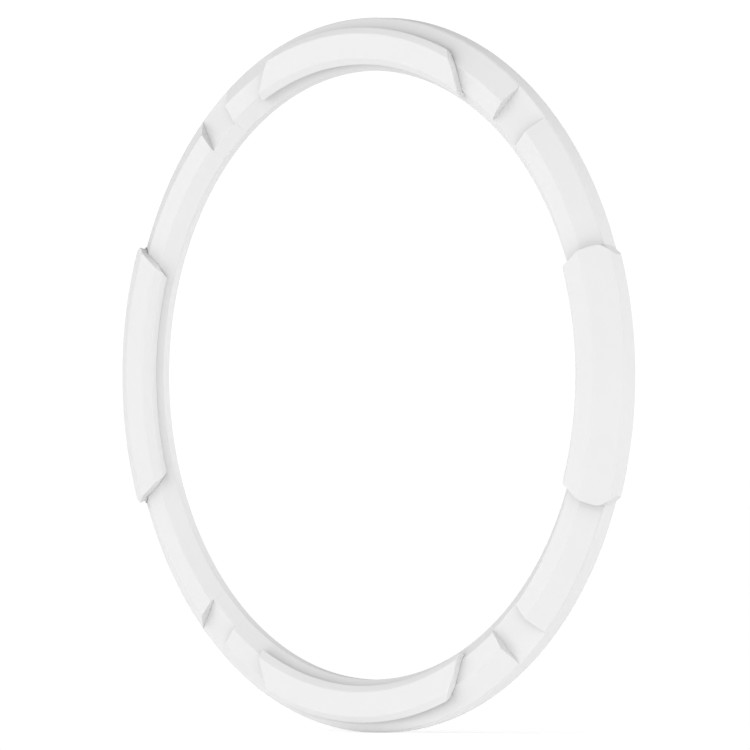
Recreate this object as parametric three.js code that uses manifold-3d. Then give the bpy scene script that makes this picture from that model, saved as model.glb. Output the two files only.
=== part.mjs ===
import * as THREE from 'three';
import Module from 'manifold-3d';
import { mergeVertices } from 'three/addons/utils/BufferGeometryUtils.js';

// Take-apart gymnastics hoop. Millimetres, +Z up, hoop axis along Y, front facing -Y.
// Sections are drawn as [radius from the hoop axis, height towards the front].

const wasm = await Module();
wasm.setup();

// ---- driving dimensions ----
const OUTER_R = 350;           // outer rim
const INNER_R = 298;           // inner rim
const REAR = -15;              // flat rear face
const FRONT = 15;              // flat crown between the bevels
const PAD_FRONT = 22.2;        // front of the raised pads, the foremost point
const CROWN_IN_R = 311.2;      // inner edge of the crown
const CROWN_OUT_R = 330.3;     // outer edge of the crown
const INNER_RIM = 4;           // half width of the narrow inner rim
const RIM_CREASE = [349.2, 0.85]; // where the broad outer slope meets the rim
const WALL = 2.4;              // moulded wall
const GAP = 0.3;               // gap between neighbouring pieces

const SIDE_HALF = 45.8;        // half angle of the long side segments, degrees
const POLE_HALF = 36.5;        // half angle of the short top and bottom segments
const JOINT_AT = 49.65;        // each joint's angle above or below the horizontal
const COLLAR_HALF = 3.85;      // half angle of a joint collar
const COUPLER_HALF = 9;        // half angle of the spigot inside a joint
const STEP = 4;                // largest facet angle
const PAD_STEP = 3.2;          // the same on the raised pads

const SCREW_R = 322;           // radius of every screw and button
const SIDE_SCREWS = [-34, 0, 34];
const POLE_SCREWS = [-27, 0, 27];
const COUPLER_SCREW_OFF = 6;   // coupler screw, degrees from the joint into a side segment
const HEAD_R = 3.3;
const HEAD_H = 1.9;
const SHANK_R = 1.5;
const BOSS_TOP = -9.3;         // rear bosses stop here
const COUPLER_REAR = -9;       // rear of the spigots

const BUTTON_OFF = 6.2;        // button, degrees from the joint into a top or bottom segment
const BUTTON_R = 5;
const FLANGE_R = 6.5;
const BUTTON_FACE = -14.7;     // just inside the rear face
const POCKET_R = 6.9;
const POCKET_FLOOR = -2;
const DISH_R = 9;

const Y0 = (PAD_FRONT + REAR) / 2;
const rad = THREE.MathUtils.degToRad;
const WHITE = 0xf2f2f0;

// ---- plane geometry of the sections ----

const between = (p, q, t) => [p[0] + (q[0] - p[0]) * t, p[1] + (q[1] - p[1]) * t];
const atHeight = (p, q, h) => between(p, q, (h - p[1]) / (q[1] - p[1]));
const atRadius = (p, q, r) => between(p, q, (r - p[0]) / (q[0] - p[0]));

function crossing(p, q, s, t) {
  const [dx, dy, ex, ey] = [q[0] - p[0], q[1] - p[1], t[0] - s[0], t[1] - s[1]];
  const u = ((s[0] - p[0]) * ey - (s[1] - p[1]) * ex) / (dx * ey - dy * ex);
  return between(p, q, u);
}

function shifted(p, q, d) {
  const len = Math.hypot(q[0] - p[0], q[1] - p[1]);
  const n = [(q[1] - p[1]) / len * d, -(q[0] - p[0]) / len * d];
  return [[p[0] + n[0], p[1] + n[1]], [q[0] + n[0], q[1] + n[1]]];
}

// A closed outline moved in by d, corner by corner. The outline runs rear to front
// up the inner side, then outwards, so its right hand is its inside.
function inset(outline, d) {
  const n = outline.length;
  return outline.map((p, i) => {
    const before = shifted(outline[(i + n - 1) % n], p, d);
    const after = shifted(p, outline[(i + 1) % n], d);
    return crossing(...before, ...after);
  });
}

// The point where a wall square to the line pq meets it, starting from a point outside.
function footOn(from, p, q, gap) {
  const n = shifted(p, q, -1)[0].map((v, i) => v - p[i]);
  const reach = (from[0] - p[0]) * n[0] + (from[1] - p[1]) * n[1];
  return [from[0] - n[0] * (reach - gap), from[1] - n[1] * (reach - gap)];
}

// ---- sections of the ring ----

const REAR_IN = [CROWN_IN_R, REAR];
const RIM_REAR = [INNER_R, -INNER_RIM];
const RIM_FRONT = [INNER_R, INNER_RIM];
const CROWN_IN = [CROWN_IN_R, FRONT];
const CROWN_OUT = [CROWN_OUT_R, FRONT];
const FLOOR_IN = atRadius(RIM_FRONT, CROWN_IN, 308.4);
const RIM_EDGE = [[OUTER_R, -1.2], [OUTER_R, REAR + 1.5], [OUTER_R - 1.5, REAR]];

const FULL_CROWN = [RIM_REAR, RIM_FRONT, CROWN_IN, CROWN_OUT,
  atRadius(CROWN_OUT, RIM_CREASE, OUTER_R), [OUTER_R, REAR], REAR_IN];
const FULL_FLOOR = [RIM_REAR, RIM_FRONT, FLOOR_IN,
  atRadius(FLOOR_IN, RIM_CREASE, OUTER_R), [OUTER_R, REAR], REAR_IN];
const CROWN_CAVITY = inset(FULL_CROWN, WALL);
const BORE = inset(FULL_FLOOR, WALL);
const SPIGOT = inset(FULL_FLOOR, WALL + 0.5);

const SPLIT_IN = INNER_RIM + GAP / 2;       // cover above, channel below, inner side
const SPLIT_OUT = RIM_CREASE[1] + GAP / 2;  // the same on the outer side

const COVER_SECTION = [
  atHeight(RIM_FRONT, CROWN_IN, SPLIT_IN), CROWN_IN, CROWN_OUT,
  atHeight(CROWN_OUT, RIM_CREASE, SPLIT_OUT),
];
const COVER_HOLLOW = [
  atHeight(CROWN_CAVITY[1], CROWN_CAVITY[2], 3), CROWN_CAVITY[2], CROWN_CAVITY[3],
  atHeight(CROWN_CAVITY[3], CROWN_CAVITY[4], 0),
];
const CHANNEL_SECTION = [
  RIM_REAR, [INNER_R, SPLIT_IN - GAP],
  [INNER_R + WALL, SPLIT_IN - GAP], BORE[0], BORE[BORE.length - 1],
  [OUTER_R - WALL, REAR + WALL], [OUTER_R - WALL, SPLIT_OUT - GAP],
  [RIM_CREASE[0], SPLIT_OUT - GAP], ...RIM_EDGE, REAR_IN,
];
const COLLAR_SECTION = [RIM_REAR, RIM_FRONT, FLOOR_IN, RIM_CREASE, ...RIM_EDGE, REAR_IN];
const COUPLER_SECTION = [
  SPIGOT[0], SPIGOT[1], SPIGOT[2], SPIGOT[3], [SPIGOT[3][0], COUPLER_REAR],
  atHeight(SPIGOT[0], SPIGOT[5], COUPLER_REAR),
];
const COUPLER_HOLLOW = inset(COUPLER_SECTION, 2.6);

// ---- solids ----

const place = (r, deg, h) => new THREE.Vector3(
  r * Math.cos(rad(deg)), Y0 - h, r * Math.sin(rad(deg)));

// A section carried round the hoop axis. ends gives each corner's own half angle, so an
// end can be cut slanting or rounded.
function arc(section, middle, half, ends = null) {
  const steps = Math.max(2, Math.ceil(half * 2 / (ends ? PAD_STEP : STEP)));
  const n = section.length;
  const points = [];
  for (let j = 0; j <= steps; j++) {
    section.forEach(([r, h], k) => {
      const reach = ends ? ends[k] : half;
      points.push(place(r, middle + reach * (2 * j / steps - 1), h));
    });
  }
  const index = [];
  for (let j = 0; j < steps; j++) {
    for (let k = 0; k < n; k++) {
      const [a, b] = [j * n + k, j * n + (k + 1) % n];
      index.push(a, b, b + n, a, b + n, a + n);
    }
  }
  const flat = section.map(([r, h]) => new THREE.Vector2(r, h));
  const way = Math.sign(THREE.ShapeUtils.area(flat));
  for (const [a, b, c] of THREE.ShapeUtils.triangulateShape(flat, [])) {
    const last = steps * n;
    const same = Math.sign(THREE.ShapeUtils.area([flat[a], flat[b], flat[c]])) === way;
    const [p, q] = same ? [b, c] : [c, b];
    index.push(a, q, p, last + a, last + p, last + q);
  }
  const geometry = new THREE.BufferGeometry().setFromPoints(points);
  geometry.setIndex(index);
  return outward(geometry);
}

function outward(geometry) {
  const p = geometry.attributes.position;
  const i = geometry.index.array;
  const [a, b, c] = [new THREE.Vector3(), new THREE.Vector3(), new THREE.Vector3()];
  let volume = 0;
  for (let t = 0; t < i.length; t += 3) {
    a.fromBufferAttribute(p, i[t]);
    b.fromBufferAttribute(p, i[t + 1]);
    c.fromBufferAttribute(p, i[t + 2]);
    volume += a.dot(b.cross(c));
  }
  if (volume < 0) {
    for (let t = 0; t < i.length; t += 3) [i[t + 1], i[t + 2]] = [i[t + 2], i[t + 1]];
  }
  return geometry;
}

function welded(geometry) {
  geometry.deleteAttribute('normal');
  geometry.deleteAttribute('uv');
  return mergeVertices(geometry, 1e-4);
}

// A round bar along the hoop axis direction, between two heights.
function bar(radius, low, high, deg, sides = 12, r = SCREW_R) {
  const geometry = welded(new THREE.CylinderGeometry(radius, radius, high - low, sides));
  const at = place(r, deg, (low + high) / 2);
  return geometry.translate(at.x, at.y, at.z);
}

const solid = (geometry) => new wasm.Manifold(new wasm.Mesh({
  numProp: 3,
  vertProperties: new Float32Array(geometry.attributes.position.array),
  triVerts: new Uint32Array(geometry.index.array),
}));

function surface(manifold) {
  const mesh = manifold.getMesh();
  const geometry = new THREE.BufferGeometry();
  const xyz = new THREE.BufferAttribute(new Float32Array(mesh.vertProperties), 3);
  geometry.setAttribute('position', xyz);
  geometry.setIndex(Array.from(mesh.triVerts));
  return mergeVertices(geometry, 1e-4);
}

const joined = (first, list) => list.reduce((sum, g) => sum.add(solid(g)), first);
const cut = (first, list) => list.reduce((sum, g) => sum.subtract(solid(g)), first);

const hoop = new THREE.Group();
hoop.name = 'take_apart_hoop';

function addNode(name, geometry, colour = WHITE, roughness = 0.6, metalness = 0) {
  geometry.computeVertexNormals();
  const material = new THREE.MeshStandardMaterial({ color: colour, roughness, metalness });
  const mesh = new THREE.Mesh(geometry, material);
  mesh.name = name;
  hoop.add(mesh);
}

const gapAngle = THREE.MathUtils.radToDeg(GAP / 2 / SCREW_R);

// ---- ring segments ----

// Front cover: crown, bevels and closed ends, with screw posts and peg sockets.
function cover(middle, half, screws, pegs) {
  const trimmed = half - gapAngle;
  let body = solid(arc(COVER_SECTION, middle, trimmed));
  body = cut(body, [arc(COVER_HOLLOW, middle, trimmed - 0.45)]);
  for (const side of [-1, 1]) body = cut(body, [arc(BORE, middle + side * half, 2)]);
  body = joined(body, screws.map((s) => bar(4, BOSS_TOP + GAP, FRONT - 1, middle + s)));
  body = cut(body, screws.map((s) => bar(SHANK_R + 0.2, -12, 8, middle + s, 8)));
  body = cut(body, pegs.map((s) => bar(2.9, 10, FRONT + 1, middle + s)));
  return surface(body);
}

const rearBoss = (deg) => bar(5.2, REAR + 1, BOSS_TOP, deg);
const rearHole = (deg) => [
  bar(HEAD_R + 0.4, REAR - 1, REAR + HEAD_H + 0.3, deg),
  bar(SHANK_R + 0.3, REAR - 1, 0, deg, 8),
];

// Rear channel: inner rim, flat back and outer rim, with recessed screw holes.
function channel(middle, half, screws, buttons) {
  let body = solid(arc(CHANNEL_SECTION, middle, half - gapAngle));
  body = joined(body, screws.map((s) => rearBoss(middle + s)));
  body = cut(body, screws.flatMap((s) => rearHole(middle + s)));
  body = cut(body, buttons.flatMap((s) => [
    bar(DISH_R, REAR - 1, REAR + 0.9, middle + s, 20),
    bar(BUTTON_R + 0.3, REAR - 1, REAR + WALL + 1, middle + s, 16),
  ]));
  return surface(body);
}

function screw(deg, tip) {
  const head = solid(bar(HEAD_R, REAR + 0.1, REAR + 0.1 + HEAD_H, deg, 12));
  return surface(joined(head, [bar(SHANK_R, REAR + 0.5, tip, deg, 8)]));
}

// ---- the four joints ----

function collar(at) {
  let body = solid(arc(COLLAR_SECTION, at, COLLAR_HALF - gapAngle));
  body = cut(body, [arc(BORE, at, COLLAR_HALF + 1)]);
  body = joined(body, [rearBoss(at)]);
  return surface(cut(body, rearHole(at)));
}

// Hollow spigot with solid posts where the screws and the button go.
function coupler(at, inward) {
  const outside = solid(arc(COUPLER_SECTION, at, COUPLER_HALF));
  const button = at - inward * BUTTON_OFF;
  const screws = [at, at + inward * COUPLER_SCREW_OFF];
  const posts = [bar(9, -20, 20, button), ...screws.map((s) => bar(4.6, -20, 20, s))]
    .reduce((sum, g) => (sum ? sum.add(solid(g)) : solid(g)), null);
  let body = cut(outside, [arc(COUPLER_HOLLOW, at, COUPLER_HALF + 1)]);
  body = body.add(outside.intersect(posts));
  body = cut(body, [bar(POCKET_R, -20, POCKET_FLOOR, button, 16)]);
  body = cut(body, screws.map((s) => bar(SHANK_R + 0.2, -20, 1, s, 8)));
  return surface(body);
}

function button(deg) {
  let body = solid(bar(BUTTON_R, BUTTON_FACE, REAR + WALL + 1, deg, 16));
  body = joined(body, [
    bar(FLANGE_R, REAR + WALL + GAP, REAR + WALL + GAP + 1.4, deg, 16),
    bar(2.6, REAR + WALL, REAR + WALL + 5.5, deg, 8),
  ]);
  return surface(body);
}

class Helix extends THREE.Curve {
  constructor(radius, low, high, turns) {
    super();
    Object.assign(this, { radius, low, high, turns });
  }

  getPoint(t, target = new THREE.Vector3()) {
    const turn = t * this.turns * Math.PI * 2;
    return target.set(this.radius * Math.cos(turn),
      -(this.low + (this.high - this.low) * t), this.radius * Math.sin(turn));
  }
}

function spring(deg) {
  const wire = 0.45;
  const low = REAR + WALL + GAP + 1.4 + 0.2 + wire;
  const helix = new Helix(4.1, low, POCKET_FLOOR - 0.2 - wire, 4);
  const round = new THREE.Shape();
  for (let i = 0; i < 5; i++) {
    const turn = i * Math.PI * 0.4;
    const [x, y] = [wire * Math.cos(turn), wire * Math.sin(turn)];
    if (i) round.lineTo(x, y); else round.moveTo(x, y);
  }
  const settings = { steps: 40, bevelEnabled: false, extrudePath: helix };
  const geometry = outward(welded(new THREE.ExtrudeGeometry(round, settings)));
  const at = place(SCREW_R, deg, 0);
  return geometry.translate(at.x, at.y, at.z);
}

// ---- raised pads ----

const PEGS = { side: [-12, 12], pole: [-15, 15] };

// Shared underside: the ring's own bevel, crown and slope, one gap further out.
const UNDER = [
  crossing(...shifted(RIM_FRONT, CROWN_IN, -GAP), ...shifted(CROWN_IN, CROWN_OUT, -GAP)),
  crossing(...shifted(CROWN_IN, CROWN_OUT, -GAP), ...shifted(CROWN_OUT, RIM_CREASE, -GAP)),
];

// Side grip: wraps from the inner bevel over the crown, down the slope and over the rim.
function grip(middle) {
  const lip = [302.0, 16.4];
  const top = [[308.9, 22.0], [332.4, 22.0]];
  const brow = [358.3, 3.7];
  const section = [
    atRadius(...shifted(RIM_FRONT, CROWN_IN, -GAP), 303), lip, top[0],
    between(...top, 0.35), between(...top, 0.7), top[1],
    between(top[1], brow, 0.35), between(top[1], brow, 0.72), brow,
    [358.3, -3.5], [358.3, -8], [358.3, -11],
    [OUTER_R + GAP, -11], [OUTER_R + GAP, -7], [OUTER_R + GAP, -3],
    [OUTER_R + GAP, RIM_CREASE[1] + 0.1],
    UNDER[1], UNDER[0],
  ];
  const ends = [18.7, 19.7, 19.9, 20.5, 21.0, 21.3, 21.35, 20.9, 19.4,
    19.1, 19.1, 19.1, 20.9, 20.9, 20.9, 20.9, 20.9, 20.3];
  const body = solid(arc(section, middle, 21, ends));
  return surface(joined(body, PEGS.side.map((s) => bar(2.5, 10.5, FRONT + 1, middle + s))));
}

// Front plate: a raised tablet on the crown with bevelled long edges and slanted ends.
function plate(middle) {
  const inner = [303.5, 16.7];
  const outer = [340.4, 16.7];
  const top = [[310.3, PAD_FRONT], [334.3, PAD_FRONT]];
  const section = [
    footOn(inner, RIM_FRONT, CROWN_IN, GAP), inner, top[0],
    between(...top, 0.5), between(...top, 0.8), top[1], between(top[1], outer, 0.5), outer,
    footOn(outer, CROWN_OUT, RIM_CREASE, GAP), UNDER[1], UNDER[0],
  ];
  const ends = [27.6, 27.6, 27.0, 25.0, 23.8, 22.8, 21.9, 20.8, 20.8, 23.2, 27.0];
  const body = solid(arc(section, middle, 27, ends));
  return surface(joined(body, PEGS.pole.map((s) => bar(2.5, 10.5, FRONT + 1, middle + s))));
}

// ---- assembly ----

const SIDES = { right: 0, left: 180 };
const POLES = { top: 90, bottom: 270 };
// Each joint: its angle, and +1 or -1 for the way round to its side segment.
const JOINTS = {
  upper_right: [JOINT_AT, -1], upper_left: [180 - JOINT_AT, 1],
  lower_left: [180 + JOINT_AT, -1], lower_right: [360 - JOINT_AT, 1],
};
const STEEL = 0xb9bcc0;

const turnTo = (deg) => ((deg + 540) % 360) - 180;

function screwRow(name, middle, offsets) {
  offsets.forEach((s, i) => addNode(`${name}_${i + 1}`, screw(middle + s, 6.5), STEEL, 0.35, 1));
}

for (const [name, at] of Object.entries(SIDES)) {
  const holes = Object.values(JOINTS)
    .map(([deg, way]) => turnTo(deg + way * COUPLER_SCREW_OFF - at))
    .filter((s) => Math.abs(s) < SIDE_HALF);
  addNode(`front_cover_${name}`, cover(at, SIDE_HALF, SIDE_SCREWS, PEGS.side));
  addNode(`rear_channel_${name}`, channel(at, SIDE_HALF, [...SIDE_SCREWS, ...holes], []));
  addNode(`grip_${name}`, grip(at), 0xf4f4f3, 0.75);
  screwRow(`cover_screw_${name}`, at, SIDE_SCREWS);
}

for (const [name, at] of Object.entries(POLES)) {
  const buttons = Object.values(JOINTS)
    .map(([deg, way]) => turnTo(deg - way * BUTTON_OFF - at))
    .filter((s) => Math.abs(s) < POLE_HALF);
  addNode(`front_cover_${name}`, cover(at, POLE_HALF, POLE_SCREWS, PEGS.pole));
  addNode(`rear_channel_${name}`, channel(at, POLE_HALF, POLE_SCREWS, buttons));
  addNode(`front_plate_${name}`, plate(at), 0xf4f4f3, 0.7);
  screwRow(`cover_screw_${name}`, at, POLE_SCREWS);
}

for (const [name, [at, way]] of Object.entries(JOINTS)) {
  addNode(`joint_collar_${name}`, collar(at));
  addNode(`coupler_${name}`, coupler(at, way), 0xe6e6e4);
  addNode(`release_button_${name}`, button(at - way * BUTTON_OFF), 0xdcdcda, 0.45);
  addNode(`button_spring_${name}`, spring(at - way * BUTTON_OFF), STEEL, 0.3, 1);
  addNode(`collar_screw_${name}`, screw(at, 0), STEEL, 0.35, 1);
  addNode(`coupler_screw_${name}`, screw(at + way * COUPLER_SCREW_OFF, 0), STEEL, 0.35, 1);
}

export default hoop;
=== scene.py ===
import math

import bmesh
import bpy
from mathutils import Matrix, Vector


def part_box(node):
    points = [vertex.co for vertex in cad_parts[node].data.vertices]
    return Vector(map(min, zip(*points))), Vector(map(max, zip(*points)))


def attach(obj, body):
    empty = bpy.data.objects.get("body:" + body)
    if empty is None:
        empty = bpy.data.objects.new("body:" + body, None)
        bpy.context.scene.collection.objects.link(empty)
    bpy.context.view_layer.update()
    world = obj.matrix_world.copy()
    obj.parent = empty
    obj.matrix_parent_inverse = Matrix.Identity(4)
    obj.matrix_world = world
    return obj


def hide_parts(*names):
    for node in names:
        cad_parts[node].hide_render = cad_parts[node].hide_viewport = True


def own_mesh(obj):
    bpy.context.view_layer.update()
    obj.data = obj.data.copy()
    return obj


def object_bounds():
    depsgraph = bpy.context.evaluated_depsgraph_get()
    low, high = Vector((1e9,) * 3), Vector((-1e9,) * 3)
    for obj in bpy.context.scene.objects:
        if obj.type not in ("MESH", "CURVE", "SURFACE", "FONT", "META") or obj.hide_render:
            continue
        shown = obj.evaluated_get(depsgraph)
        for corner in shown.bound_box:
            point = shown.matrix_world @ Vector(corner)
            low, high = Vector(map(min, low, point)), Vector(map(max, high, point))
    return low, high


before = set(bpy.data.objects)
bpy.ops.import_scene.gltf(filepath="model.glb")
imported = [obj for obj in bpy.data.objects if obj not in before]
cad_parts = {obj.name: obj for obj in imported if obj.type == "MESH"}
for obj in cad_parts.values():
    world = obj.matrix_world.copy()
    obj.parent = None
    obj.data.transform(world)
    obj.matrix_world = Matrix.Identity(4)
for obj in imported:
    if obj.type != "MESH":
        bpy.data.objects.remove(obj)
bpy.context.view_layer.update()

MM = 0.001
ROOT = "hoop_frame"

# ---- the ring, in millimetres and degrees ----
# A point of the ring's section is (radius, height), with height towards the front from the
# hoop's mid-plane. Places round the ring are degrees from +X towards +Z.

OUTER_R, INNER_R = 350.0, 298.0
REAR, FRONT, PAD_FRONT = -15.0, 15.0, 22.2
CROWN_IN, CROWN_OUT = (311.2, FRONT), (330.3, FRONT)
RIM_REAR, RIM_FRONT = (INNER_R, -4.0), (INNER_R, 4.0)
CREASE = (349.2, 0.85)           # where the front slope meets the outer rim
RIM_CURVE = (OUTER_R, -0.2)
NOTCH_R = 308.4                  # where a recess's floor leaves the inner bevel
WALL = 2.4
SEAM = 0.05                      # width of a closed seam
PAD_GAP = 0.3                    # between a raised pad and the ring below it
STEP = 0.75                      # between rings of points

SIDE_HALF, POLE_HALF = 45.8, 36.5            # half the span of a side and of a pole segment
JOINT_AT, COLLAR_HALF = 49.65, 3.85
END_WALL_SPAN, BORE_HALF = 0.45, 1.2         # a cover's end wall, and the bore through it
COUPLER_SCREW_AT, BUTTON_AT = 6.0, 6.2       # how far round from the joint
SIDE_SCREWS, POLE_SCREWS = (-34, 0, 34), (-27, 0, 27)
SIDE_PEGS, POLE_PEGS = (-12, 12), (-15, 15)
SIDES = {"right": 0, "left": 180}
POLES = {"top": 90, "bottom": 270}

SCREW_R = 322.0                  # the circle that screws, pegs and buttons stand on
SCREW_SHANK_R, SCREW_POINT_R = 1.5, 0.9
RECESS_R, RECESS_DEPTH, CLEARANCE_R = 3.7, 2.2, 1.8
POST_R, POST_REAR, POST_FRONT = 4.0, -9, FRONT - 1.4
PILOT_R, PILOT_FRONT = 1.7, 8
BOSS_R, BOSS_REAR, BOSS_FRONT = 5.2, REAR + 1.2, -9.3
COVER_SCREW_TIP, SHORT_SCREW_TIP = 6.5, 0
PEG_R, PEG_REAR, PEG_FRONT = 2.5, 10.5, FRONT + 1.5
SOCKET_R, SOCKET_REAR = 2.9, 10
DISH_R, DISH_FLOOR_R, DISH_DEPTH, BUTTON_HOLE_R = 9.4, 5.8, 0.95, 5.3
BUTTON_FACE, FLANGE_REAR, FLANGE_FRONT, BUTTON_TIP = -14.7, -12.3, -10.9, -7.1
SPRING_REAR, SPRING_FRONT = -10.7, -2.2

# the hoop's mid-plane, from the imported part's flat back
Y0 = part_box("rear_channel_top")[1].y + REAR * MM


# ---- plane geometry ----

def between(p, q, t):
    return (p[0] + (q[0] - p[0]) * t, p[1] + (q[1] - p[1]) * t)


def at_height(p, q, h):
    return between(p, q, (h - p[1]) / (q[1] - p[1]))


def at_radius(p, q, r):
    return between(p, q, (r - p[0]) / (q[0] - p[0]))


def shifted(p, q, d):
    """The line pq moved d to its right hand, which is the inside of every outline here."""
    length = math.hypot(q[0] - p[0], q[1] - p[1])
    n = ((q[1] - p[1]) / length * d, -(q[0] - p[0]) / length * d)
    return (p[0] + n[0], p[1] + n[1]), (q[0] + n[0], q[1] + n[1])


def crossing(a, b):
    """Where two lines, each given by two points, cross."""
    (p, q), (s, t) = a, b
    dx, dy, ex, ey = q[0] - p[0], q[1] - p[1], t[0] - s[0], t[1] - s[1]
    return between(p, q, ((s[0] - p[0]) * ey - (s[1] - p[1]) * ex) / (dx * ey - dy * ex))


def inset(outline, depths):
    """A closed outline moved in, each side by its own depth."""
    n = len(outline)
    sides = [shifted(outline[i], outline[(i + 1) % n], depths[i]) for i in range(n)]
    corners = []
    for before, after in zip([sides[-1], *sides], sides):
        u = (before[1][0] - before[0][0], before[1][1] - before[0][1])
        v = (after[1][0] - after[0][0], after[1][1] - after[0][1])
        straight = abs(u[0] * v[1] - u[1] * v[0]) < 1e-4 * math.hypot(*u) * math.hypot(*v)
        corners.append(after[0] if straight else crossing(before, after))
    return corners


def foot(point, p, q, gap):
    """Where a wall square to pq, dropped from a point outside it, ends."""
    (sx, sy), _ = shifted(p, q, -1)
    n = (sx - p[0], sy - p[1])
    reach = (point[0] - p[0]) * n[0] + (point[1] - p[1]) * n[1] - gap
    return (point[0] - n[0] * reach, point[1] - n[1] * reach)


def rounded(outline, radii, pieces=4):
    """The outline with each corner replaced by an arc, and each point's corner number.

    A radius of 0 keeps the corner. An arc never takes more than about half of a side.
    """
    points, source = [], []
    for i, here in enumerate(outline):
        before, after = Vector(outline[i - 1]), Vector(outline[(i + 1) % len(outline)])
        p = Vector(here)
        if radii[i] <= 0:
            points.append(tuple(p))
            source.append(i)
            continue
        u, v = (before - p).normalized(), (after - p).normalized()
        angle = u.angle(v)
        reach = radii[i] / math.tan(angle / 2)
        reach = min(reach, 0.48 * (before - p).length, 0.48 * (after - p).length)
        radius = reach * math.tan(angle / 2)
        centre = p + (u + v).normalized() * (radius / math.sin(angle / 2))
        start, end = p + u * reach - centre, p + v * reach - centre
        turn = start.angle(end)
        for k in range(pieces + 1):
            t = k / pieces
            spot = (start * math.sin((1 - t) * turn) + end * math.sin(t * turn)) / math.sin(turn)
            points.append(tuple(centre + spot))
            source.append(i)
    return points, source


def distances(path):
    """The distance of each point of a path from its start."""
    reach = [0.0]
    for p, q in zip(path, path[1:]):
        reach.append(reach[-1] + math.dist(p, q))
    return reach


def value_at(reach, values, d, mix):
    """The value at distance d along a path, given the values at its points."""
    i = min(max(k for k in range(len(reach)) if reach[k] <= d + 1e-9), len(reach) - 2)
    return mix(values[i], values[i + 1], (d - reach[i]) / (reach[i + 1] - reach[i]))


def number_between(a, b, t):
    return a + (b - a) * t


def smoothed(values, rounds):
    """The values evened out along the row, both ends kept."""
    for _ in range(rounds):
        values = [values[0]] + [(a + 2 * b + c) / 4 for a, b, c in
                                zip(values, values[1:], values[2:])] + [values[-1]]
    return values


# ---- meshes ----

def polar(r, deg, h):
    """The point of the frame at a radius, a place round the ring and a height."""
    t = math.radians(deg)
    return Vector((r * MM * math.cos(t), Y0 - h * MM, r * MM * math.sin(t)))


def link(name, mesh):
    obj = bpy.data.objects.new(name, mesh)
    bpy.context.scene.collection.objects.link(obj)
    return obj


def close(name, bm):
    """The object made from a finished bmesh."""
    bmesh.ops.recalc_face_normals(bm, faces=bm.faces)
    mesh = bpy.data.meshes.new(name)
    bm.to_mesh(mesh)
    bm.free()
    return link(name, mesh)


def discard(obj):
    mesh = obj.data
    bpy.data.objects.remove(obj)
    bpy.data.meshes.remove(mesh)


def arc(name, section_at, middle, half, edge=0.0, ends=None, step=STEP):
    """A section carried round the hoop's axis, its ends rounded over by edge millimetres.

    section_at(d) is the outline d millimetres in from the full section, always with the
    same number of points. ends gives each point's own half angle; the outline's second half
    then runs back under its first half, point for point, and the end walls join the two.
    """
    full = section_at(0.0)
    reach = ends if ends else [half] * len(full)
    limit = [a - math.degrees(edge / r) for a, (r, _) in zip(reach, full)]
    turns = 5 if edge else 0
    # from the very end inwards: distance from the end, depth below the full section
    rounding = [(edge * (1 - math.sin(math.pi / 2 * k / turns)),
                 edge * (1 - math.cos(math.pi / 2 * k / turns)))
                for k in range(turns, -1, -1)] if turns else [(0.0, 0.0)]
    bm = bmesh.new()

    def ring(depth, place):
        return [bm.verts.new(polar(r, place(k, r), h)) for k, (r, h) in enumerate(section_at(depth))]

    def end_ring(sign, inwards, depth):
        return ring(depth, lambda k, r: middle + sign * (reach[k] - math.degrees(inwards / r)))

    count = max(2, math.ceil(2 * half / step))
    loops = [end_ring(-1, inwards, depth) for inwards, depth in rounding]
    for j in range(1, count):
        t = 2 * j / count - 1
        loops.append(ring(0.0, lambda k, r, t=t: middle + t * limit[k]))
    loops += [end_ring(1, inwards, depth) for inwards, depth in reversed(rounding)]

    n = len(full)
    for a, b in zip(loops, loops[1:]):
        for k in range(n):
            bm.faces.new((a[k], a[(k + 1) % n], b[(k + 1) % n], b[k]))
    for loop in (loops[0], loops[-1]):
        if not ends:
            bmesh.ops.triangulate(bm, faces=[bm.faces.new(loop)])
            continue
        # the outline's second half leaves out its two ends, which the halves share
        top = n // 2 + 1
        lower = [loop[0], *loop[top:][::-1], loop[top - 1]]
        for k in range(top - 1):
            corners = (loop[k], loop[k + 1], lower[k + 1], lower[k])
            bm.faces.new(list(dict.fromkeys(corners)))
    return close(name, bm)


def lathe(name, profile, deg, sides=48):
    """A closed profile of (radius, height) turned about an axis parallel to the hoop's."""
    bm = bmesh.new()
    centre = polar(SCREW_R, deg, 0)
    loops = []
    for radius, h in profile:
        turns = [2 * math.pi * i / sides for i in range(sides if radius else 1)]
        loops.append([bm.verts.new(centre + Vector((radius * MM * math.cos(turn), -h * MM,
                                                    radius * MM * math.sin(turn))))
                      for turn in turns])
    for a, b in zip(loops, loops[1:]):
        for i in range(sides):
            j = (i + 1) % sides
            corners = [a[i % len(a)], a[j % len(a)], b[j % len(b)], b[i % len(b)]]
            bm.faces.new(list(dict.fromkeys(corners)))
    return close(name, bm)


def rod(name, radius, low, high, deg, sides=24):
    return lathe(name, [(0, low), (radius, low), (radius, high), (0, high)], deg, sides)


def merged(name, objects):
    """Several separate closed meshes as one object, for one cut."""
    bm = bmesh.new()
    for obj in objects:
        bm.from_mesh(obj.data)
        discard(obj)
    mesh = bpy.data.meshes.new(name)
    bm.to_mesh(mesh)
    bm.free()
    return link(name, mesh)


def carve(obj, tools, operation="DIFFERENCE"):
    """Cuts the tools out of obj, all at once, or joins them to it."""
    tool = merged("tool", tools)
    modifier = obj.modifiers.new("cut", "BOOLEAN")
    modifier.operation = operation
    modifier.solver = "EXACT"
    modifier.object = tool
    bpy.context.view_layer.update()
    result = obj.evaluated_get(bpy.context.evaluated_depsgraph_get())
    mesh = bpy.data.meshes.new_from_object(result)
    obj.modifiers.clear()
    old = obj.data
    obj.data = mesh
    bpy.data.meshes.remove(old)
    discard(tool)
    return obj


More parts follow.
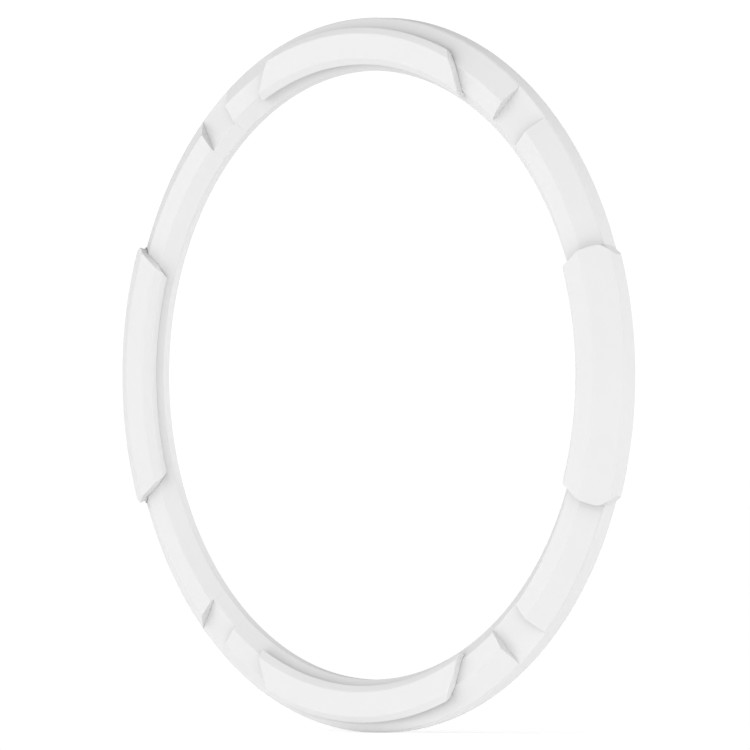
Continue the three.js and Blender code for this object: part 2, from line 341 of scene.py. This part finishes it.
def finish_piece(obj, material, body, nodes, sharp=32):
    """Gives a piece its material, smooth shading and place in the frame."""
    obj.data.materials.clear()
    obj.data.materials.append(material)
    for polygon in obj.data.polygons:
        polygon.use_smooth = True
        polygon.material_index = 0
    obj.data.set_sharp_from_angle(angle=math.radians(sharp))
    weighted = obj.modifiers.new("weighted normals", "WEIGHTED_NORMAL")
    weighted.keep_sharp = True
    weighted.weight = 80
    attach(obj, body)
    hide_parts(*nodes)
    return obj


# ---- materials ----

# painted shade: steps and corners darkened in the plastics' colour, more near the top and bottom
SHADE_REACH, SHADE_POWER = 30.0, 0.8              # millimetres, exponent
SHADE_FROM, SHADE_FULL = -0.35, -0.75             # the normal's Y where shade starts, is full
SHADE_LEAST_SIDE, SHADE_LEAST_POLE = 0.89, 0.74   # the deepest painted shade, as a share of the tone
SIDE_TOP, POLE_START = 285, 310                   # the levels between which it changes


def add_node(tree, kind, inputs, **settings):
    """A shader node. Each input is linked if it is given a socket, and set otherwise."""
    made = tree.nodes.new("ShaderNode" + kind)
    for key, value in settings.items():
        setattr(made, key, value)
    for key, value in inputs.items():
        if isinstance(value, bpy.types.NodeSocket):
            tree.links.new(value, made.inputs[key])
        else:
            made.inputs[key].default_value = value
    return made


def new_material(name):
    material = bpy.data.materials.new(name)
    material.use_nodes = True
    return material, material.node_tree, material.node_tree.nodes["Principled BSDF"]


def two_tone(tree, fac, colour, darker, lighter):
    return add_node(tree, "MixRGB", {
        0: fac, 1: (*[c * darker for c in colour], 1),
        2: (*[min(1, c * lighter) for c in colour], 1)}).outputs[0]


def relief(tree, place, scale, detail, strength, depth):
    """A normal from fine bumps, depth being in millimetres."""
    bumps = add_node(tree, "TexNoise", {"Vector": place, "Scale": scale, "Detail": detail})
    return add_node(tree, "Bump", {"Height": bumps.outputs["Fac"], "Strength": strength,
                                   "Distance": depth * MM}).outputs["Normal"]


def painted_corner_shade(tree, where):
    """Painted shade in steps and corners, on surfaces that face the front: the share of the tone
    they keep.
    """
    height = add_node(tree, "SeparateXYZ", {0: where.outputs["Object"]}).outputs["Z"]
    # the reach shortens towards the floor, so that the floor itself casts no shade
    reach = add_node(tree, "MapRange", {
        "Value": height, "From Min": -OUTER_R * MM, "From Max": (SHADE_REACH - OUTER_R) * MM,
        "To Min": 0.5 * MM, "To Max": SHADE_REACH * MM})
    open_share = add_node(tree, "AmbientOcclusion", {"Distance": reach.outputs["Result"]},
                          samples=8)
    deepened = add_node(tree, "Math", {0: open_share.outputs["AO"], 1: SHADE_POWER},
                        operation="POWER")
    # the painted shade is deeper near the top and bottom of the hoop than at its sides
    level = add_node(tree, "Math", {0: height}, operation="ABSOLUTE")
    least = add_node(tree, "MapRange", {
        "Value": level.outputs[0], "From Min": SIDE_TOP * MM, "From Max": POLE_START * MM,
        "To Min": SHADE_LEAST_SIDE, "To Max": SHADE_LEAST_POLE}, interpolation_type="SMOOTHSTEP")
    kept = add_node(tree, "Math", {0: deepened.outputs[0], 1: least.outputs["Result"]},
                    operation="MAXIMUM")
    facing = add_node(tree, "SeparateXYZ", {0: where.outputs["Normal"]})
    share = add_node(tree, "MapRange", {
        "Value": facing.outputs["Y"], "From Min": SHADE_FROM, "From Max": SHADE_FULL},
        interpolation_type="SMOOTHSTEP")
    return add_node(tree, "MixRGB", {0: share.outputs["Result"], 1: (1, 1, 1, 1),
                                     2: kept.outputs[0]}).outputs[0]


def plastic(name, colour, rough, grain=0.35, bump=0.02):
    """Moulded plastic or rubber: a spark-eroded grain, slow tone drift, faint rubbing and painted
    shade in steps and corners.

    grain is the size of the grain's bumps and bump their height, in millimetres.
    """
    material, tree, shader = new_material(name)
    where = add_node(tree, "TexCoord", {})
    place = where.outputs["Object"]
    drift = add_node(tree, "TexNoise", {"Vector": place, "Scale": 14.0, "Detail": 3.0})
    tone = two_tone(tree, drift.outputs["Fac"], colour, 0.988, 1.012)
    # the tone darkened by painted shade in steps and corners
    shaded = add_node(tree, "VectorMath", {0: tone, 1: painted_corner_shade(tree, where)},
                      operation="MULTIPLY")
    rub = add_node(tree, "TexNoise", {"Vector": place, "Scale": 60.0, "Detail": 4.0})
    spread = add_node(tree, "MapRange", {
        "Value": rub.outputs["Fac"], "From Min": 0.3, "From Max": 0.7,
        "To Min": rough - 0.06, "To Max": rough + 0.06})
    tree.links.new(shaded.outputs[0], shader.inputs["Base Color"])
    tree.links.new(spread.outputs["Result"], shader.inputs["Roughness"])
    tree.links.new(relief(tree, place, 1 / (grain * MM), 2.0, 0.35, bump),
                   shader.inputs["Normal"])
    shader.inputs["Specular IOR Level"].default_value = 0.1
    return material


def steel(name, colour=(0.62, 0.63, 0.65), rough=0.32):
    """Zinc-plated steel: slow cloudiness and tiny scratches."""
    material, tree, shader = new_material(name)
    place = add_node(tree, "TexCoord", {}).outputs["Object"]
    cloud = add_node(tree, "TexNoise", {"Vector": place, "Scale": 300.0, "Detail": 5.0})
    spread = add_node(tree, "MapRange", {"Value": cloud.outputs["Fac"], "To Min": rough - 0.08,
                                         "To Max": rough + 0.14})
    tree.links.new(two_tone(tree, cloud.outputs["Fac"], colour, 0.88, 1.1),
                   shader.inputs["Base Color"])
    tree.links.new(spread.outputs["Result"], shader.inputs["Roughness"])
    tree.links.new(relief(tree, place, 2500.0, 2.0, 0.2, 0.01), shader.inputs["Normal"])
    shader.inputs["Metallic"].default_value = 1.0
    return material


SHELL = plastic("white_moulded_shell", (0.72, 0.72, 0.72), 0.5)
PLATE = plastic("white_moulded_plate", (0.72, 0.72, 0.72), 0.55, grain=0.5)
GRIP = plastic("white_soft_touch_rubber", (0.72, 0.72, 0.72), 0.7, grain=0.6, bump=0.03)
NYLON = plastic("grey_nylon", (0.57, 0.57, 0.56), 0.5, grain=0.5)
KEY = plastic("button_plastic", (0.63, 0.63, 0.62), 0.3, grain=0.8, bump=0.01)
STEEL = steel("zinc_plated_steel")


# ---- sections ----

def even(outline, depth):
    return inset(outline, [depth] * len(outline))


def section(outline, radii=None, depths=None):
    """section_at for arc(): the outline rounded, and moved in side by side as depths say."""
    radii = radii or [0] * len(outline)
    depths = depths or [1] * len(outline)

    def section_at(d):
        moved = inset(outline, [d * k for k in depths]) if d else outline
        return rounded(moved, radii)[0]

    return section_at


FLOOR_IN = at_radius(RIM_FRONT, CROWN_IN, NOTCH_R)
FULL_CROWN = [RIM_REAR, RIM_FRONT, CROWN_IN, CROWN_OUT,
              at_radius(CROWN_OUT, CREASE, OUTER_R), (OUTER_R, REAR), (CROWN_IN[0], REAR)]
FULL_FLOOR = [RIM_REAR, RIM_FRONT, FLOOR_IN, at_radius(FLOOR_IN, CREASE, OUTER_R),
              (OUTER_R, REAR), (CROWN_IN[0], REAR)]
CAVITY = even(FULL_CROWN, WALL)
BORE = even(FULL_FLOOR, WALL)

# a cover's skin over the front, and the channel behind it, meet at the rims
INNER_SEAM, OUTER_SEAM = RIM_FRONT[1], CREASE[1]
COVER = [at_height(RIM_FRONT, CROWN_IN, INNER_SEAM + SEAM / 2), FLOOR_IN, CROWN_IN, CROWN_OUT,
         at_height(CROWN_OUT, CREASE, OUTER_SEAM + SEAM / 2)]
COVER_HOLLOW = [at_height(CAVITY[1], CAVITY[2], 3), CAVITY[2], CAVITY[3],
                at_height(CAVITY[3], CAVITY[4], 0)]
CHANNEL = [RIM_REAR, (INNER_R, INNER_SEAM - SEAM / 2), (INNER_R + WALL, INNER_SEAM - SEAM / 2),
           BORE[0], BORE[-1], (OUTER_R - WALL, REAR + WALL),
           (OUTER_R - WALL, OUTER_SEAM - SEAM / 2), (CREASE[0], OUTER_SEAM - SEAM / 2),
           RIM_CURVE, (OUTER_R, REAR), (CROWN_IN[0], REAR)]
CHANNEL_RADII = [0.9, 0.08, 0, 0, 0, 0, 0, 0.05, 2.2, 1.8, 0.9]
COLLAR = [RIM_REAR, RIM_FRONT, FLOOR_IN, CREASE, RIM_CURVE, (OUTER_R, REAR),
          (CROWN_IN[0], REAR)]
COLLAR_RADII = [0.9, 0.5, 0.5, 0.3, 2.2, 1.8, 0.9]


def short_of_seam(half):
    return half - math.degrees(SEAM / 2 / SCREW_R)


# ---- ring segments ----

def cover(name, middle, half, pegs, screws):
    """The front skin of a segment, hollow behind, with screw posts and peg sockets."""
    piece = arc(name, section(COVER, [0.05, 0, 0.9, 0.9, 0.05], [0.15, 1, 1, 1, 0.15]),
                middle, short_of_seam(half), edge=0.12)
    carve(piece, [arc("hollow", section(COVER_HOLLOW), middle, half - END_WALL_SPAN, step=2)])
    carve(piece, [arc("bore", section(BORE), middle + side * half, BORE_HALF, step=0.6)
                  for side in (-1, 1)])
    carve(piece, [rod("post", POST_R, POST_REAR, POST_FRONT, middle + s) for s in screws],
          "UNION")
    sockets = [rod("socket", SOCKET_R, SOCKET_REAR, FRONT + 1, middle + s) for s in pegs]
    pilots = [rod("pilot", PILOT_R, POST_REAR - 3, PILOT_FRONT, middle + s, 20) for s in screws]
    return carve(piece, sockets + pilots)


def screw_hole(deg):
    """Recess and clearance hole, with a small lead-in at the mouth."""
    step = REAR + RECESS_DEPTH
    return lathe("recess", [(0, REAR - 1), (RECESS_R + 0.3, REAR - 1), (RECESS_R + 0.3, REAR),
                            (RECESS_R, REAR + 0.3), (RECESS_R, step), (CLEARANCE_R, step),
                            (CLEARANCE_R, 0), (0, 0)], deg, 40)


def button_hole(deg):
    """A thumb dish with the button's hole in its middle."""
    floor, end = REAR + DISH_DEPTH, REAR + 4
    bowl = [(0, REAR - 1), (DISH_R + 0.2, REAR - 1), (DISH_R, REAR)]
    for k in range(1, 7):
        t = k / 6
        bowl.append((DISH_R + (DISH_FLOOR_R - DISH_R) * t,
                     REAR + DISH_DEPTH * math.sin(t * math.pi / 2)))
    return lathe("dish", bowl + [(BUTTON_HOLE_R + 0.2, floor), (BUTTON_HOLE_R, floor + 0.2),
                                 (BUTTON_HOLE_R, end), (0, end)], deg, 64)


def boss(deg):
    return rod("boss", BOSS_R, BOSS_REAR, BOSS_FRONT, deg, 32)


def channel(name, middle, half, screws, buttons):
    """The rear shell of a segment: rims, flat back, screw bosses and any button holes."""
    piece = arc(name, section(CHANNEL, CHANNEL_RADII, [0.2] * len(CHANNEL)),
                middle, short_of_seam(half), edge=0.1)
    carve(piece, [boss(middle + s) for s in screws], "UNION")
    return carve(piece, [screw_hole(middle + s) for s in screws]
                 + [button_hole(middle + s) for s in buttons])


def collar(name, at):
    """The closed section between two segments, which is the floor of a recess."""
    piece = arc(name, section(COLLAR, COLLAR_RADII, [0.25] * len(COLLAR)),
                at, short_of_seam(COLLAR_HALF), edge=0.1, step=0.5)
    carve(piece, [arc("bore", section(BORE), at, COLLAR_HALF + 1, step=0.8)])
    carve(piece, [boss(at)], "UNION")
    return carve(piece, [screw_hole(at)])


# ---- screws, buttons, springs ----

def screw(name, deg, tip):
    """Low pan head with a cross recess."""
    top = REAR + 0.1
    head = [(0, 0), (1.6, 0.02), (2.6, 0.2), (3.1, 0.55), (3.3, 1.0), (3.3, 1.8), (3.2, 1.9)]
    piece = lathe(name, [(radius, top + drop) for radius, drop in head]
                  + [(SCREW_SHANK_R, top + 1.9), (SCREW_SHANK_R, tip - 1.2),
                     (SCREW_POINT_R, tip), (0, tip)], deg, 40)
    for turn in (20, 110):
        bm = bmesh.new()
        bmesh.ops.create_cube(bm, size=1)
        spin = Matrix.Rotation(math.radians(turn), 4, "Y")
        shape = Matrix.Diagonal((3.4 * MM, 2.4 * MM, 0.75 * MM, 1))
        bmesh.ops.transform(bm, matrix=Matrix.Translation(polar(SCREW_R, deg, top)) @ spin @ shape,
                            verts=bm.verts)
        carve(piece, [close("bar", bm)])
    return piece


def button(name, deg):
    """Domed cap with two shallow finger rings, a stop flange and a spring guide."""
    cap = [(0, 0.05), (1.0, 0.05), (1.7, 0.06), (1.9, 0.26), (2.15, 0.26), (2.35, 0.07),
           (3.2, 0.09), (3.4, 0.29), (3.65, 0.29), (3.85, 0.1), (4.4, 0.14), (4.8, 0.3),
           (5.0, 0.6)]
    flange = [(5.0, FLANGE_REAR), (6.3, FLANGE_REAR), (6.5, FLANGE_REAR + 0.2),
              (6.5, FLANGE_FRONT - 0.2), (6.3, FLANGE_FRONT)]
    guide = [(2.6, FLANGE_FRONT), (2.6, BUTTON_TIP - 0.3), (2.3, BUTTON_TIP), (0, BUTTON_TIP)]
    return lathe(name, [(radius, BUTTON_FACE + drop) for radius, drop in cap] + flange + guide,
                 deg, 64)


def spring(name, deg):
    """A wire helix whose end coils lie closer together, as ground ends do."""
    wire, coil, turns, sides = 0.45, 4.1, 4, 10
    low, high = SPRING_REAR + wire, SPRING_FRONT - wire
    centre = polar(SCREW_R, deg, 0)
    count = turns * 36
    round_wire = [2 * math.pi * i / sides for i in range(sides)]
    bm = bmesh.new()
    loops = []
    for j in range(count + 1):
        t = j / count
        rise = t - 0.35 * math.sin(2 * math.pi * t) / (2 * math.pi)
        turn = 2 * math.pi * turns * t
        out = Vector((math.cos(turn), 0, math.sin(turn)))
        spot = centre + out * coil * MM + Vector((0, -(low + (high - low) * rise) * MM, 0))
        loops.append([bm.verts.new(spot + (out * math.cos(a) + Vector((0, math.sin(a), 0)))
                                   * wire * MM) for a in round_wire])
    for a, b in zip(loops, loops[1:]):
        for i in range(sides):
            bm.faces.new((a[i], a[(i + 1) % sides], b[(i + 1) % sides], b[i]))
    bm.faces.new(loops[0])
    bm.faces.new(loops[-1])
    return close(name, bm)


# ---- raised pads ----

INNER_BEVEL_OVER = shifted(RIM_FRONT, CROWN_IN, -PAD_GAP)
CROWN_OVER = shifted(CROWN_IN, CROWN_OUT, -PAD_GAP)
SLOPE_OVER = shifted(CROWN_OUT, CREASE, -PAD_GAP)
UNDER_IN = crossing(INNER_BEVEL_OVER, CROWN_OVER)
UNDER_OUT = crossing(CROWN_OVER, SLOPE_OVER)


def pad(name, middle, skin, radii, keys, under, under_keys, edge, pegs, soften=16, count=96):
    """A raised pad: an outer skin over an underside that follows the ring.

    skin and under run from the inner side outwards. keys and under_keys are the half angles
    of their corners, so each end is a wall drawn across the pad.
    """
    whole = skin + under[::-1]
    all_radii = radii + [0] * len(under)
    source = rounded(whole, all_radii, 5)[1]
    on_skin = sum(1 for corner in source if corner < len(skin))

    def paths(d):
        shape = inset(whole, [d] * (len(skin) - 1) + [0] * (len(under) + 1))
        outline = rounded(shape, all_radii, 5)[0]
        top = outline[:on_skin]
        return top, [top[0], *outline[on_skin:][::-1], top[-1]]

    top, base = paths(0.0)
    top_reach, base_reach = distances(top), distances(base)
    shares = sorted({k / count for k in range(count + 1)}
                    | {reach / base_reach[-1] for reach in base_reach[1:-1]})

    def section_at(d):
        top, base = paths(d)
        upper, lower = distances(top), distances(base)
        return ([value_at(upper, top, upper[-1] * t, between) for t in shares]
                + [value_at(lower, base, lower[-1] * t, between) for t in shares[-2:0:-1]])

    # where each corner of the skin lies along it, at the middle of its arc
    corners = []
    for corner in range(len(skin)):
        found = [top_reach[i] for i in range(on_skin) if source[i] == corner]
        corners.append(sum(found) / len(found))
    spots = [min(max(top_reach[-1] * k / count, corners[0]), corners[-1])
             for k in range(count + 1)]
    wall_top = smoothed([value_at(corners, keys, spot, number_between) for spot in spots], soften)
    steps = [k / count for k in range(count + 1)]
    wall_foot = [keys[0], *under_keys, keys[-1]]
    ends = [value_at(steps, wall_top, t, number_between) for t in shares]
    ends += [value_at(base_reach, wall_foot, base_reach[-1] * t, number_between)
             for t in shares[-2:0:-1]]
    piece = arc(name, section_at, middle, max(ends), edge=edge, ends=ends, step=0.7)
    peg = [(0, PEG_REAR), (PEG_R - 0.4, PEG_REAR), (PEG_R, PEG_REAR + 0.5), (PEG_R, PEG_FRONT),
           (0, PEG_FRONT)]
    return carve(piece, [lathe("peg", peg, middle + s, 24) for s in pegs], "UNION")


def grip(name, middle):
    """Soft pad over crown, slope and rim, open at the flat back."""
    lip, brow = (302.0, 16.4), (358.3, 3.7)
    top_in, top_out = (308.9, 22.0), (332.4, 22.0)
    rear, rear_in = -11, 350.3
    skin = [at_radius(*INNER_BEVEL_OVER, 303), lip, top_in, between(top_in, top_out, 0.35),
            between(top_in, top_out, 0.7), top_out, between(top_out, brow, 0.35),
            between(top_out, brow, 0.72), brow, (brow[0], -3.5), (brow[0], -8),
            (brow[0], rear), (rear_in, rear)]
    radii = [0, 1.2, 1.2, 0, 0, 2.0, 0, 0, 2.0, 0, 0, 1.6, 0]
    keys = [18.6, 19.5, 20.2, 20.5, 21.0, 21.3, 21.4, 21.3, 19.9, 19.1, 19.1, 19.1, 20.9]
    under = [UNDER_IN, UNDER_OUT, (rear_in, 0.95)]
    return pad(name, middle, skin, radii, keys, under, [20.4, 21.2, 21.25], 1.0, SIDE_PEGS)


def plate(name, middle):
    """Rigid tablet on the crown, with bevelled long edges and slanted ends."""
    inner, outer = (303.5, 16.7), (340.4, 16.7)
    top_in, top_out = (310.3, PAD_FRONT), (334.3, PAD_FRONT)
    skin = [foot(inner, RIM_FRONT, CROWN_IN, PAD_GAP), inner, top_in,
            between(top_in, top_out, 0.5), between(top_in, top_out, 0.8), top_out,
            between(top_out, outer, 0.5), outer, foot(outer, CROWN_OUT, CREASE, PAD_GAP)]
    radii = [0, 0.9, 0.9, 0, 0, 0.9, 0, 0.9, 0]
    keys = [27.6, 27.6, 27.0, 25.0, 23.8, 22.8, 21.9, 20.9, 21.5]
    return pad(name, middle, skin, radii, keys, [UNDER_IN, UNDER_OUT], [27.0, 23.7], 0.8,
               POLE_PEGS)


# ---- assembly ----

# each joint's place, and the way round the ring from it to its side segment
JOINTS = {"upper_right": (JOINT_AT, -1), "upper_left": (180 - JOINT_AT, 1),
          "lower_left": (180 + JOINT_AT, -1), "lower_right": (360 - JOINT_AT, 1)}


def near_joints(at, half, offset):
    """Places offset degrees past each joint, towards its side if positive, in one segment."""
    places = [(deg + way * offset - at + 540) % 360 - 180 for deg, way in JOINTS.values()]
    return [place for place in places if abs(place) < half]


def shells(key, at, half, pegs, screws, extra_screws, buttons):
    """A segment's cover and channel; the extra screws go through the channel only."""
    finish_piece(cover(f"front_cover_{key}_shell", at, half, pegs, screws),
                 SHELL, ROOT, [f"front_cover_{key}"])
    finish_piece(channel(f"rear_channel_{key}_shell", at, half, [*screws, *extra_screws], buttons),
                 SHELL, ROOT, [f"rear_channel_{key}"])


def cover_screws(key, at, screws):
    for i, s in enumerate(screws, 1):
        finish_piece(screw(f"cover_screw_{key}_{i}_cross", at + s, COVER_SCREW_TIP), STEEL, ROOT,
                     [f"cover_screw_{key}_{i}"])


for key, at in SIDES.items():
    coupler_screws = near_joints(at, SIDE_HALF, COUPLER_SCREW_AT)
    shells(key, at, SIDE_HALF, SIDE_PEGS, SIDE_SCREWS, coupler_screws, [])
    finish_piece(grip(f"grip_{key}_rubber", at), GRIP, ROOT, [f"grip_{key}"])
    cover_screws(key, at, SIDE_SCREWS)

for key, at in POLES.items():
    buttons = near_joints(at, POLE_HALF, -BUTTON_AT)
    shells(key, at, POLE_HALF, POLE_PEGS, POLE_SCREWS, [], buttons)
    finish_piece(plate(f"front_plate_{key}_tablet", at), PLATE, ROOT,
                 [f"front_plate_{key}"])
    cover_screws(key, at, POLE_SCREWS)

for key, (at, way) in JOINTS.items():
    press = at - way * BUTTON_AT
    finish_piece(collar(f"joint_collar_{key}_shell", at), SHELL, ROOT,
                 [f"joint_collar_{key}"])
    finish_piece(button(f"release_button_{key}_cap", press), KEY, f"button_{key}",
                 [f"release_button_{key}"])
    coil = finish_piece(spring(f"button_spring_{key}_coil", press), STEEL, ROOT,
                        [f"button_spring_{key}"])
    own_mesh(coil)
    finish_piece(screw(f"collar_screw_{key}_cross", at, SHORT_SCREW_TIP), STEEL, ROOT,
                 [f"collar_screw_{key}"])
    coupled = at + way * COUPLER_SCREW_AT
    finish_piece(screw(f"coupler_screw_{key}_cross", coupled, SHORT_SCREW_TIP), STEEL, ROOT,
                 [f"coupler_screw_{key}"])
    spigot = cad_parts[f"coupler_{key}"]
    spigot.data.materials.clear()
    spigot.data.materials.append(NYLON)


# ---- floor ----

FLOOR_RADIUS, FLOOR_GLOW = 60, 0.3

low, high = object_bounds()
bm = bmesh.new()
bmesh.ops.create_circle(bm, cap_ends=True, radius=FLOOR_RADIUS, segments=96)
bmesh.ops.translate(bm, verts=bm.verts, vec=(0, 0, low[2]))
floor = close("floor", bm)
paint, _, shader = new_material("pale_floor")
shader.inputs["Base Color"].default_value = (0.95, 0.95, 0.95, 1)
shader.inputs["Roughness"].default_value = 1.0
shader.inputs["Specular IOR Level"].default_value = 0.0
shader.inputs["Emission Color"].default_value = (1, 1, 1, 1)
shader.inputs["Emission Strength"].default_value = FLOOR_GLOW
floor.data.materials.append(paint)


# ---- light ----

# soft light by direction: a constant, then what each product of the direction's axes adds
BASE_LIGHT = 1.6
LIGHT = {"X": 0.5, "Y": -0.55, "Z": 0.1, "XY": 1.05, "YZ": 0.5, "XZ": -0.25, "ZZ": -1.6,
         "XX": -0.4}
HORIZON = 1.04                   # the least strength at the horizon
HORIZON_TOP, HORIZON_FULL = 0.12, 0.03   # the direction's Z where it starts, is full

world = bpy.data.worlds.new("studio")
bpy.context.scene.world = world
world.use_nodes = True
tree = world.node_tree
heading = add_node(tree, "TexCoord", {}).outputs["Generated"]
axes = add_node(tree, "SeparateXYZ", {0: heading}).outputs
total = BASE_LIGHT
for term, factor in LIGHT.items():
    value = axes[term[0]]
    if len(term) == 2:
        value = add_node(tree, "Math", {0: value, 1: axes[term[1]]},
                         operation="MULTIPLY").outputs[0]
    total = add_node(tree, "Math", {0: value, 1: factor, 2: total},
                     operation="MULTIPLY_ADD").outputs[0]
horizon = add_node(tree, "MapRange", {
    "Value": axes["Z"], "From Min": HORIZON_TOP, "From Max": HORIZON_FULL, "To Max": HORIZON},
    interpolation_type="SMOOTHSTEP")
strongest = add_node(tree, "Math", {0: total, 1: horizon.outputs["Result"]},
                     operation="MAXIMUM")
background = tree.nodes["Background"]
background.inputs["Color"].default_value = (1, 1, 1, 1)
tree.links.new(strongest.outputs[0], background.inputs["Strength"])

scene = bpy.context.scene
scene.view_settings.view_transform = "Standard"
scene.view_settings.look = "None"


# ---- camera ----

AZIMUTH, DISTANCE = 46.6, 20.6   # degrees from the front, metres from the hoop's middle
FRAME_WIDTH = 0.7343             # metres across the picture, at the hoop's middle
SHIFT = (0.0024, 0.00013)

lens = bpy.data.cameras.new("camera")
lens.sensor_width = 36.0
lens.lens = lens.sensor_width * DISTANCE / FRAME_WIDTH
lens.clip_start, lens.clip_end = 0.1, 100
lens.dof.use_dof = False
lens.shift_x, lens.shift_y = SHIFT
camera = bpy.data.objects.new("camera", lens)
scene.collection.objects.link(camera)
azimuth = math.radians(AZIMUTH)
away = Vector((math.sin(azimuth), -math.cos(azimuth), 0))
camera.location = Vector((0, Y0, 0)) + away * DISTANCE
camera.rotation_euler = (math.radians(90), 0, azimuth)
scene.camera = camera
